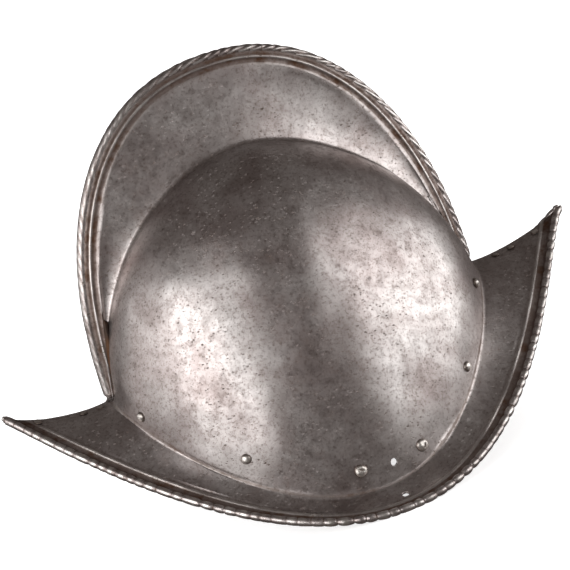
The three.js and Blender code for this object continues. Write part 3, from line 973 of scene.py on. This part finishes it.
@dataclass
class CombFold:
    """Left plate's comb edge turned over the right one's and filed into a twisted rope."""

    lines: SkullLines
    radius: float = 3.0
    strand_pitch: float = 7.4
    strands: int = 5
    groove: float = 0.85
    around: int = 30
    step: float = 0.62

    def build(self, finish: bpy.types.Material) -> bpy.types.Object:
        """Builds the fold: radius less a groove wherever two strands meet along the helix.

        Args:
            finish: The polished steel.

        Returns:
            The piece.
        """
        def middle(t: np.ndarray) -> np.ndarray:
            """The comb's edge on the centre plane."""
            return self.lines.comb(t) * np.array([1.0, 0.0, 1.0])

        path, run = even_path(middle, 0.0, math.pi, self.step)
        turn = np.linspace(0.0, 2.0 * math.pi, self.around, endpoint=False)
        up = np.repeat(np.array([[0.0, 1.0, 0.0]]), len(path), 0)
        uneven = 0.35 * ripple(path, 40.0, 21) + 0.12 * ripple(path, 9.0, 22)
        phase = (run / self.strand_pitch + uneven)[:, None] + self.strands * turn[None, :] / (2.0 * math.pi)
        pad = np.abs(np.sin(math.pi * phase))
        valley = 1.0 - pad ** 0.55
        worn = 1.0 - 0.85 * smooth(-path[:, 0], 0.0, 80.0)
        depth = self.groove * worn * (1.0 + 0.2 * ripple(path, 30.0, 23))
        ends = smooth(run, 0.0, 3.0) * smooth(run[-1] - run, 0.0, 3.0)
        radius = (self.radius - depth[:, None] * valley) * (0.55 + 0.45 * ends[:, None])
        radius += 0.07 * ripple(path, 14.0, 24)[:, None]
        points = swept(path, up, np.minimum(radius, self.radius + 0.05), turn)
        bar, faces = capped(points, path)
        placed = self.lines.place(bar, Side.LEFT)
        dark = smooth(valley, 0.30, 0.75) * (0.4 + 0.6 * worn[:, None])
        recess = np.concatenate([dark.ravel(), [0.5, 0.5]])
        bitten = np.clip(0.5 + 0.5 * ripple(path, 19.0, 25), 0.0, 1.0)
        rubbed = np.concatenate([(smooth(pad, 0.7, 0.98) * 0.7 * bitten[:, None]).ravel(), [0.0, 0.0]])
        piece = outward(make_mesh("comb_fold", placed, faces, {"recess": recess, "rubbed": rubbed}))
        piece.data.materials.append(finish)
        enlist(piece, ["left_half"])
        return piece


def outward(piece: bpy.types.Object) -> bpy.types.Object:
    """Turns a closed mesh's faces so that they point outwards, by the sign of its volume.

    Args:
        piece: An object whose mesh is closed.

    Returns:
        The same object.
    """
    mesh = piece.data
    mesh.calc_loop_triangles()
    co = np.empty(len(mesh.vertices) * 3)
    mesh.vertices.foreach_get("co", co)
    tri = np.empty(len(mesh.loop_triangles) * 3, np.int32)
    mesh.loop_triangles.foreach_get("vertices", tri)
    p = co.reshape(-1, 3)[tri.reshape(-1, 3)]
    if np.einsum("ij,ij->", p[:, 0], np.cross(p[:, 1], p[:, 2])) < 0:
        mesh.flip_normals()
    return piece


@dataclass
class BrimRoll:
    """Brim edge rolled under and notched across into a row of worn pads."""

    lines: SkullLines
    side: Side
    radius: float = 2.25
    sink: float = 0.5
    pitch: float = 6.9
    notch: float = 1.0
    slant: float = 0.04
    around: int = 18
    step: float = 0.55

    def path(self, t: np.ndarray) -> np.ndarray:
        """The brim's edge, held off the seam so that the two rolls meet side by side at each tip."""
        p = self.lines.brim(t)
        p[:, 1] = np.sqrt(np.maximum(p[:, 1], 0.0) ** 2 + (self.radius + 0.1) ** 2)
        p[:, 2] -= self.sink
        return p

    def build(self, finish: bpy.types.Material) -> bpy.types.Object:
        """Builds the roll: radius less a sharp notch between pads, irregularly spaced.

        Args:
            finish: The polished steel.

        Returns:
            The piece.
        """
        path, run = even_path(self.path, 0.02, math.pi - 0.02, self.step)
        turn = np.linspace(0.0, 2.0 * math.pi, self.around, endpoint=False)
        up = np.repeat(np.array([[0.0, 0.0, 1.0]]), len(path), 0)
        seed = 31 if self.side is Side.LEFT else 41
        uneven = 0.32 * ripple(path, 45.0, seed) + 0.12 * ripple(path, 14.0, seed + 1)
        phase = (run / self.pitch + uneven)[:, None] + self.slant * np.sin(turn)[None, :]
        pad = np.abs(np.sin(math.pi * phase))
        valley = 1.0 - pad ** 0.36
        strength = 0.85 + 0.5 * ripple(path, 26.0, seed + 2)
        worn = 1.0 - 0.45 * smooth(-path[:, 0], 30.0, 150.0)
        depth = self.notch * np.clip(strength, 0.3, 1.3) * worn
        ends = smooth(run, 0.0, 2.4) * smooth(run[-1] - run, 0.0, 2.4)
        radius = (self.radius - depth[:, None] * valley) * (0.5 + 0.5 * ends[:, None])
        radius += 0.05 * ripple(path, 8.0, seed + 3)[:, None]
        points = swept(path, up, np.minimum(radius, self.radius + 0.08), turn)
        bar, faces = capped(points, path)
        placed = self.lines.place(bar, self.side)
        placed[:, 2] = np.maximum(placed[:, 2], 0.0)
        recess = np.concatenate([smooth(valley, 0.3, 0.8).ravel(), [0.5, 0.5]])
        bitten = np.clip(0.55 + 0.5 * ripple(path, 17.0, seed + 4), 0.0, 1.0)
        rubbed = np.concatenate([(smooth(pad, 0.6, 0.97) * bitten[:, None] * 0.8).ravel(), [0.0, 0.0]])
        name = f"{self.side.name.lower()}_brim_roll"
        piece = outward(make_mesh(name, placed, faces, {"recess": recess, "rubbed": rubbed}))
        piece.data.materials.append(finish)
        enlist(piece, [f"{self.side.name.lower()}_half"])
        return piece


@dataclass
class LapTongue:
    """Right half's tongue that steps down and reaches under the left half's peak."""

    lines: SkullLines
    low: float
    high: float
    name: str
    plate: float = 1.2
    depth: float = 1.6
    reach: float = 8.0
    root: float = 6.0
    columns: int = 44
    rows: int = 30

    def surface(self, x: np.ndarray, y: np.ndarray) -> np.ndarray:
        """Height of the peak's upper face over plan points, from a cubic fitted to the brim.

        Args:
            x: Distances along the helmet.
            y: Distances from the seam, either sign.

        Returns:
            Heights.
        """
        t = np.linspace(0.02, 0.5, 90)
        t = math.pi - t if self.low > 0 else t
        tt, vv = np.meshgrid(t, np.linspace(0.0, 1.0, 50), indexing="ij")
        p = self.lines.root(tt) + (self.lines.brim(tt) - self.lines.root(tt)) * vv[..., None]
        p[..., 2] -= self.lines.hollow(tt, vv)
        near = (p[..., 0] > self.low - 6.0) & (p[..., 0] < self.high + 6.0) & (p[..., 1] < self.reach + 5.0)
        middle = 0.5 * (self.low + self.high)

        def terms(px: np.ndarray, py: np.ndarray) -> np.ndarray:
            """Products of powers of the scaled distances, up to the third."""
            u, w = (px - middle) / 30.0, np.abs(py) / 10.0
            return np.stack([u ** i * w ** j for i in range(4) for j in range(4 - i)], -1)

        found = np.linalg.lstsq(terms(p[near][:, 0], p[near][:, 1]), p[near][:, 2], rcond=None)[0]
        return terms(x, y) @ found

    def build(self, finish: bpy.types.Material) -> bpy.types.Object:
        """Builds the tongue: a thin plate carried along the seam, its depth a smooth step across it.

        Args:
            finish: The raw inside.

        Returns:
            The piece.
        """
        x = np.linspace(self.low, self.high, self.columns)
        y = np.linspace(-self.reach, self.root, self.rows)
        down = self.depth + (0.35 - self.depth) * smooth(y, 0.6, 5.0)
        thick = self.plate + (0.55 - self.plate) * smooth(y, 0.6, 5.0)
        xx, yy = np.meshgrid(x, y, indexing="ij")
        top = self.surface(xx, yy) - down[None, :]
        outer = np.stack([xx, yy, top], -1)
        under = np.stack([xx, yy, top - thick[None, :]], -1)
        ring = np.concatenate([outer, under[:, ::-1]], axis=1)
        n, m = ring.shape[:2]
        faces = grid_faces(n, m, closed_rows=True).tolist()
        half = np.arange(self.rows - 1)
        for first in (0, (n - 1) * m):
            end = np.stack([first + half, first + half + 1, first + m - 2 - half, first + m - 1 - half], -1)
            faces += (end if first else end[:, ::-1]).tolist()
        piece = outward(make_mesh(self.name, self.lines.place(ring.reshape(-1, 3), Side.RIGHT), faces))
        piece.data.materials.append(finish)
        enlist(piece, ["right_half"])
        return piece


# ---- Studio --------------------------------------------------------------------------------------

@dataclass
class Studio:
    """Pale seamless floor and backdrop, soft lights and the camera."""

    aim: tuple[float, float, float] = (1.345, 0.0, 113.4)
    azimuth: float = -14.0
    elevation: float = 11.0
    roll: float = -18.06
    distance: float = 1203.4
    focal: float = 132.63

    def sweep(self, finish: bpy.types.Material) -> bpy.types.Object:
        """Seamless sheet: flat floor that curves up into a wall behind, a profile carried across.

        Args:
            finish: The matt white.

        Returns:
            The backdrop.
        """
        bend = np.linspace(0.0, math.pi / 2, 24)
        radius, front, back = 1500.0, -4200.0, 2600.0
        floor = np.linspace(front, back, 30)
        wall = radius + np.linspace(300.0, 3200.0, 6)
        run = np.concatenate([floor, back + radius * np.sin(bend[1:]), np.full(wall.shape, back + radius)])
        rise = np.concatenate([np.zeros(floor.shape), radius * (1.0 - np.cos(bend[1:])), wall])
        across = np.linspace(-5200.0, 5200.0, 24)
        x, y = np.meshgrid(across, run, indexing="ij")
        z = np.repeat(rise[None, :], len(across), 0) - 0.05
        faces = grid_faces(*x.shape)
        sheet = make_mesh("studio_sweep", np.stack([x, y, z], -1).reshape(-1, 3), faces.tolist())
        sheet.data.materials.append(finish)
        sheet.visible_glossy = False
        return sheet

    def lamp(
        self,
        name: str,
        azimuth: float,
        elevation: float,
        distance: float,
        size: tuple[float, float],
        glow: float,
        seen_in_metal: bool = True,
    ) -> bpy.types.Object:
        """Soft box that faces the helmet.

        Args:
            name: Lamp name.
            azimuth: Direction from the helmet in degrees; 0 is towards -Y, 90 towards +X.
            elevation: Degrees above the floor.
            distance: Metres from the helmet.
            size: Width and height in metres.
            glow: How bright its face is; its power is pi x area x glow.
            seen_in_metal: False for a lamp that only whitens the floor.

        Returns:
            The lamp.
        """
        a, e = math.radians(azimuth), math.radians(elevation)
        back = Vector((math.sin(a) * math.cos(e), -math.cos(a) * math.cos(e), math.sin(e)))
        data = bpy.data.lights.new(name, "AREA")
        data.shape, data.size, data.size_y = "RECTANGLE", size[0], size[1]
        data.energy = math.pi * size[0] * size[1] * glow
        lamp = bpy.data.objects.new(name, data)
        lamp.location = Vector(self.aim) * MM + back * distance
        lamp.rotation_mode = "QUATERNION"
        lamp.rotation_quaternion = (-back).to_track_quat("-Z", "Y")
        lamp.visible_glossy = seen_in_metal
        bpy.context.scene.collection.objects.link(lamp)
        return lamp

    def world(self, strength: float, colour: str) -> None:
        """Even light from all round.

        Args:
            strength: Its strength.
            colour: Its colour.
        """
        world = bpy.data.worlds.new("studio_air")
        world.use_nodes = True
        sky = world.node_tree.nodes["Background"]
        sky.inputs["Color"].default_value = linear(colour)
        sky.inputs["Strength"].default_value = strength
        bpy.context.scene.world = world

    def camera(self) -> bpy.types.Object:
        """Camera low at the front left, turned about its own axis so that the front tip hangs low.

        Returns:
            The camera.
        """
        a, e, r = (math.radians(v) for v in (self.azimuth, self.elevation, self.roll))
        back = Vector((math.sin(a) * math.cos(e), -math.cos(a) * math.cos(e), math.sin(e)))
        right = Vector((math.cos(a), math.sin(a), 0.0))
        up = back.cross(right)
        turned_right = right * math.cos(r) + up * math.sin(r)
        turned_up = -right * math.sin(r) + up * math.cos(r)
        place = Vector(self.aim) * MM + back * (self.distance * MM)
        data = bpy.data.cameras.new("studio_camera")
        data.lens, data.sensor_width = self.focal, 36.0
        data.clip_start, data.clip_end = 0.05, 50.0
        camera = bpy.data.objects.new("studio_camera", data)
        rows = [[turned_right[i], turned_up[i], back[i], place[i]] for i in range(3)] + [[0, 0, 0, 1]]
        camera.matrix_world = Matrix(rows)
        bpy.context.scene.collection.objects.link(camera)
        bpy.context.scene.camera = camera
        return camera

    def build(self) -> None:
        """Sets the floor, the lights and the camera."""
        self.sweep(PaleStudio().build())
        self.lamp("left_softbox", -50.0, 14.5, 1.3, (1.02, 0.92), 3.9)
        self.lamp("left_panel", -98.0, 15.0, 1.6, (1.3, 1.1), 1.35)
        self.lamp("right_softbox", 47.0, 13.0, 1.3, (0.84, 0.92), 2.75)
        self.lamp("right_panel", 82.0, 5.0, 1.6, (1.0, 0.8), 2.6)
        self.lamp("floor_wash", 180.0, 78.0, 3.2, (5.0, 5.0), 1.0, seen_in_metal=False)
        self.world(0.125, "#F4E4DC")
        self.camera()


# ---- Rivets --------------------------------------------------------------------------------------

@dataclass(frozen=True)
class RivetKind:
    """Sizes that all rivets of one kind share."""

    head_radius: float
    head_height: float
    shank_radius: float
    grip: float
    tail_radius: float
    tail_height: float
    peened: bool = False


LINING_RIVET = RivetKind(3.0, 2.2, 1.3, 1.35, 2.4, 0.9)
STRAP_RIVET = RivetKind(3.7, 2.5, 1.7, 1.35, 3.1, 0.9, peened=True)
LAP_RIVET = RivetKind(2.5, 0.45, 1.1, 3.0, 2.0, 0.6)


@dataclass
class Rivet:
    """A rivet through the plate: hammered head outside, shank, and burred tail inside."""

    node: str
    centre: np.ndarray
    normal: np.ndarray
    kind: RivetKind
    seed: int
    around: int = 36
    split_offset: float = 0.9
    split_width: float = 0.5
    split_depth: float = 0.6

    def profile(self) -> tuple[np.ndarray, np.ndarray]:
        """Radius and height from the crown of the head, round its rim, down the shank to the tail.

        Returns:
            Radii, and heights above the plate.
        """
        kind = self.kind
        a = np.linspace(0.0, math.pi / 2, 12)
        shape = 0.75 if kind.peened else 1.0
        rim = -0.15
        head_r = kind.head_radius * np.sin(a)
        head_z = rim + (kind.head_height - rim) * np.cos(a) ** shape
        shank_r = np.array([kind.head_radius * 0.96, kind.shank_radius, kind.shank_radius])
        shank_z = np.array([rim - 0.1, rim - 0.12, -kind.grip + 0.05])
        b = np.linspace(math.pi / 2, 0.0, 8)
        tail_r = kind.tail_radius * np.sin(b)
        tail_z = -kind.grip - kind.tail_height * np.cos(b)
        return np.concatenate([head_r, shank_r, tail_r]), np.concatenate([head_z, shank_z, tail_z])

    def build(self, finish: bpy.types.Material) -> bpy.types.Object:
        """Builds the rivet as a turned shape with hammer unevenness and, if peened, a split mark.

        Args:
            finish: The forged iron.

        Returns:
            The piece.
        """
        kind = self.kind
        r, z = self.profile()
        turn = np.linspace(0.0, 2.0 * math.pi, self.around, endpoint=False)
        helper = np.array([0.0, 0.0, 1.0]) if abs(self.normal[2]) < 0.9 else np.array([1.0, 0.0, 0.0])
        side = unit(np.cross(helper, self.normal))
        other = np.cross(self.normal, side)
        rng = np.random.default_rng(self.seed)
        lobes = sum(rng.uniform(-1, 1) * np.cos(k * turn + rng.uniform(0, 6.28)) / k for k in (2, 3, 4))
        grow = 1.0 + (0.07 if kind.peened else 0.035) * lobes
        rr = r[:, None] * grow[None, :]
        x, y = rr * np.cos(turn), rr * np.sin(turn)
        zz = np.repeat(z[:, None], self.around, 1)
        top = z[:, None] > 0.0
        dented = ripple(np.stack([x, y, zz + self.seed * 7.0], -1), 3.2, self.seed)
        zz = zz + np.where(top, 0.10 * dented, 0.0)
        recess = smooth(-zz, -0.25, 0.1) * 0.9
        if kind.peened:
            lean = rng.uniform(0.0, math.pi)
            off = np.abs(x * math.sin(lean) - y * math.cos(lean) - self.split_offset)
            along = np.abs(x * math.cos(lean) + y * math.sin(lean))
            ends = smooth(-along, -kind.head_radius * 0.6, -kind.head_radius * 0.15)
            split = np.exp(-(off / self.split_width) ** 2) * ends
            zz = zz - np.where(top, self.split_depth * split, 0.0)
            recess = np.maximum(recess, np.where(top, split, 0.0))
        points = (self.centre + x[..., None] * side + y[..., None] * other + zz[..., None] * self.normal)
        rings = points[1:-1]
        flat = np.concatenate([rings.reshape(-1, 3), points[:1].mean(1), points[-1:].mean(1)])
        n, m = rings.shape[:2]
        faces = grid_faces(n, m, closed_rows=True).tolist()
        ring, after = np.arange(m), (np.arange(m) + 1) % m
        faces += np.stack([np.full(m, n * m), ring, after], -1).tolist()
        faces += np.stack([np.full(m, n * m + 1), (n - 1) * m + after, (n - 1) * m + ring], -1).tolist()
        rec = np.concatenate([recess[1:-1].ravel(), [recess[0].mean(), 0.8]])
        crown = smooth(zz, kind.head_height * 0.45, kind.head_height * 0.95) * (1.0 - recess)
        rub = np.concatenate([crown[1:-1].ravel(), [0.8, 0.0]])
        piece = outward(make_mesh(f"{self.node}_iron", flat, faces, {"recess": rec, "rubbed": rub}))
        piece.data.materials.append(finish)
        enlist(piece, [self.node])
        return piece


@dataclass
class RivetSet:
    """All rivets of the helmet, standing where the solids that they stand for are."""

    shell: HalfShell
    lining: dict[str, tuple[float, float]] = field(default_factory=lambda: {
        "front": (0.375, 7.0), "fore": (0.947, 14.6), "aft": (2.288, 9.0), "rear": (2.73, 12.0)})
    strap: dict[str, tuple[float, float]] = field(default_factory=lambda: {
        "fore": (1.462, 12.4), "aft": (1.818, 9.2)})
    lap: dict[str, float] = field(default_factory=lambda: {
        "front_root": -120.5, "front_mid": -131.0, "front_tip": -156.0,
        "rear_root": 129.5, "rear_mid": 139.5, "rear_tip": 157.0})
    lap_offset: float = 4.0

    def build(self, finish: bpy.types.Material) -> None:
        """Builds every rivet.

        Args:
            finish: The forged iron.
        """
        lines = self.shell.lines
        seed = 100
        for side in Side:
            mirror = np.array([1.0, side.value, 1.0])
            groups = (("lining", self.lining, LINING_RIVET), ("strap", self.strap, STRAP_RIVET))
            for use, spots, kind in groups:
                for spot, (t, above) in spots.items():
                    point, normal = self.shell.bowl_spot(t, above)
                    seed += 1
                    node = f"{use}_rivet_{side.name.lower()}_{spot}"
                    centre = lines.place(point[None], side)[0]
                    Rivet(node, centre, normal * mirror, kind, seed).build(finish)
        for spot, x in self.lap.items():
            point, normal = self.peak_spot(x)
            seed += 1
            centre = lines.place(point[None], Side.LEFT)[0]
            turned = normal * np.array([1.0, Side.LEFT.value, 1.0])
            Rivet(f"lap_rivet_{spot}", centre, turned, LAP_RIVET, seed).build(finish)

    def peak_spot(self, x: float) -> tuple[np.ndarray, np.ndarray]:
        """Spot on a peak's upper face nearest to a distance along X, just beside the seam.

        Args:
            x: Distance from the helmet's middle.

        Returns:
            The point and its upward normal.
        """
        t = np.arange(1, 61) * 0.008
        t = math.pi - t if x > 0 else t
        tt, vv = np.meshgrid(t, np.linspace(0.0, 1.0, 61), indexing="ij")
        lines = self.shell.lines
        p = lines.root(tt) + (lines.brim(tt) - lines.root(tt)) * vv[..., None]
        miss = np.hypot(p[..., 0] - x, p[..., 1] - self.lap_offset)
        i, j = np.unravel_index(np.argmin(miss), miss.shape)
        return self.shell.brim_spot(float(tt[i, j]), float(vv[i, j]))


def main() -> None:
    """Builds the helmet piece by piece, then the studio."""
    logging.basicConfig(level=logging.INFO, format="%(name)s: %(message)s")
    steel = PolishedSteel().build()
    inside = RawInside().build()
    iron = PolishedSteel(name="worn_forged_iron", bright="#A8A09A", body="#857C75", roughness=0.42,
                         rubbed="#D8D3CD", pit_share=0.4).build()
    lines = SkullLines()
    strap_hole = Eyelet(t=1.636, on_brim=False, height=10.8, radius=1.45)
    cord_hole = Eyelet(t=1.594, on_brim=True, height=0.45, radius=1.5)
    left = HalfShell(lines, Side.LEFT, eyelets=[strap_hole, cord_hole])
    right = HalfShell(lines, Side.RIGHT, eyelets=[strap_hole])
    for shell in (left, right):
        shell.build(steel, inside)
        BrimRoll(lines, shell.side).build(steel)
    CombFold(lines).build(steel)
    LapTongue(lines, -159.5, -118.0, "front_lap_tongue").build(inside)
    LapTongue(lines, 123.0, 164.0, "rear_lap_tongue").build(inside)
    RivetSet(left).build(iron)
    bpy.context.scene.view_settings.view_transform = "Standard"
    Studio().build()


if __name__ == "__main__":
    main()
